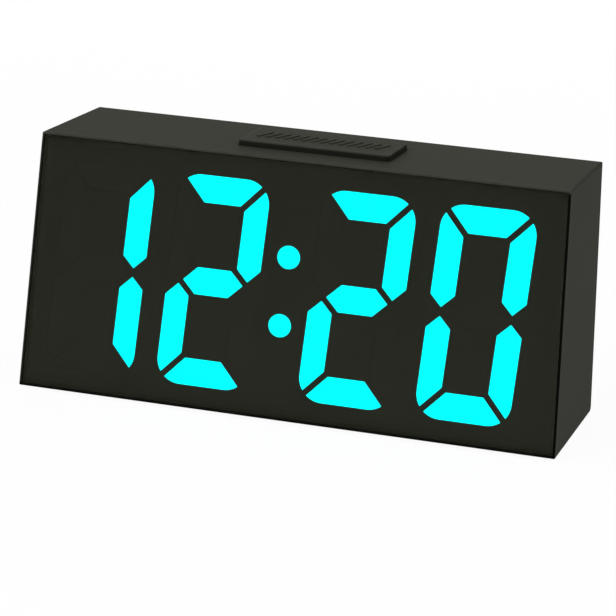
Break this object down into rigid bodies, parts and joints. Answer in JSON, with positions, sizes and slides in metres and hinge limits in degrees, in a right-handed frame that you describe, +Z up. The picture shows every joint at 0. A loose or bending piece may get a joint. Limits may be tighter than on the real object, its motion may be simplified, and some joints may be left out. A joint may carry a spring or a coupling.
{
  "type": "digital led desk clock",
  "caption": "Wedge-shaped desk clock with a full-face smoked lens, lit slanted seven-segment time, a snooze bar on top, and set buttons, alarm switch, power socket and battery door at the back.",
  "frame": {"origin": "on the table, under the middle of the housing's width and depth", "axes": "+X to the right as seen from the front, the slanted front faces -Y, +Z up"},
  "size_m": [0.161, 0.0522, 0.0781],
  "materials": {
    "housing_plastic": "fine moulded grain, black with an olive tint",
    "lens_plastic": "smooth smoked acrylic",
    "rubber": "matt",
    "mask_plastic": "flat black face",
    "lit_plastic": "glowing translucent diffuser",
    "dark_plastic": "smoked translucent diffuser, not lit",
    "led_resin": "clear resin over a white cup",
    "board": "green solder mask",
    "plug_plastic": "off-white moulding",
    "ribbon_plastic": "grey ribbed insulation",
    "lead_plastic": "smooth red insulation",
    "screw_steel": "zinc-plated",
    "contact_steel": "nickel-plated",
    "switch_plastic": "black moulding",
    "chip_resin": "matt epoxy",
    "plunger_plastic": "smooth moulding",
    "button_plastic": "smooth moulding, black"
  },
  "bodies": {
    "case": {"alarm_switch": "switch_plastic", "back_cover": "housing_plastic", "battery_leads": "lead_plastic", "battery_plates": "contact_steel", "battery_springs": "contact_steel", "board_screws": "screw_steel", "button_switches": "switch_plastic", "colon_lit": "lit_plastic", "controller_chip": "chip_resin", "cover_screws": "screw_steel", "crystal": "contact_steel", "display_board": "board", "display_header": "plug_plastic", "display_reflector": "mask_plastic", "display_ribbon": "ribbon_plastic", "display_screws": "screw_steel", "driver_transistors": "chip_resin", "feet": "rubber", "filter_capacitors": "chip_resin", "front_lens": "lens_plastic", "hour_tens_dark": "dark_plastic", "hour_tens_lit": "lit_plastic", "hour_units_dark": "dark_plastic", "hour_units_lit": "lit_plastic", "inlet_body": "switch_plastic", "inlet_pin": "contact_steel", "led_chips": "led_resin", "main_board": "board", "main_shell": "housing_plastic", "minute_tens_dark": "dark_plastic", "minute_tens_lit": "lit_plastic", "minute_units_dark": "dark_plastic", "minute_units_lit": "lit_plastic", "ribbon_header": "plug_plastic", "snooze_board": "board", "snooze_leads": "lead_plastic", "snooze_screws": "screw_steel", "snooze_springs": "contact_steel", "snooze_switch": "switch_plastic", "sounder": "switch_plastic"},
    "snooze_key": {"snooze_bar": "housing_plastic"},
    "snooze_switch_pin": {"snooze_plunger": "plunger_plastic"},
    "alarm_slider": {"alarm_knob": "button_plastic", "alarm_lever": "plunger_plastic"},
    "battery_cover": {"battery_door": "housing_plastic"},
    "brightness_key": {"brightness_button": "button_plastic", "brightness_plunger": "plunger_plastic"},
    "minute_key": {"minute_button": "button_plastic", "minute_plunger": "plunger_plastic"},
    "hour_key": {"hour_button": "button_plastic", "hour_plunger": "plunger_plastic"},
    "alarm_set_key": {"alarm_set_button": "button_plastic", "alarm_set_plunger": "plunger_plastic"},
    "time_set_key": {"time_set_button": "button_plastic", "time_set_plunger": "plunger_plastic"}
  },
  "joints": [
    {"name": "snooze_press", "type": "slide", "parent": "case", "child": "snooze_key", "axis": [0, 0, -1], "range_m": [0, 0.001], "stiffness_N_per_m": 300, "springref_m": -0.003, "deforming": ["snooze_springs"]},
    {"name": "snooze_switch_press", "type": "slide", "parent": "case", "child": "snooze_switch_pin", "axis": [0, 0, -1], "range_m": [0, 0.00025]},
    {"name": "alarm_slide", "type": "slide", "parent": "case", "child": "alarm_slider", "axis": [1, 0, 0], "range_m": [0, 0.003]},
    {"name": "battery_door_swing", "type": "hinge", "parent": "case", "child": "battery_cover", "pos_m": [-0.02, 0.0255, 0.0058], "axis": [-1, 0, 0], "range_deg": [0, 70]},
    {"name": "brightness_press", "type": "slide", "parent": "case", "child": "brightness_key", "axis": [0, -1, 0], "range_m": [0, 0.00025], "stiffness_N_per_m": 2000, "springref_m": -0.0004},
    {"name": "minute_press", "type": "slide", "parent": "case", "child": "minute_key", "axis": [0, -1, 0], "range_m": [0, 0.00025], "stiffness_N_per_m": 2000, "springref_m": -0.0004},
    {"name": "hour_press", "type": "slide", "parent": "case", "child": "hour_key", "axis": [0, -1, 0], "range_m": [0, 0.00025], "stiffness_N_per_m": 2000, "springref_m": -0.0004},
    {"name": "alarm_set_press", "type": "slide", "parent": "case", "child": "alarm_set_key", "axis": [0, -1, 0], "range_m": [0, 0.00025], "stiffness_N_per_m": 2000, "springref_m": -0.0004},
    {"name": "time_set_press", "type": "slide", "parent": "case", "child": "time_set_key", "axis": [0, -1, 0], "range_m": [0, 0.00025], "stiffness_N_per_m": 2000, "springref_m": -0.0004}
  ],
  "couplings": [
    {"joint": "snooze_switch_press", "follows": "snooze_press", "ratio": 0.25}
  ]
}
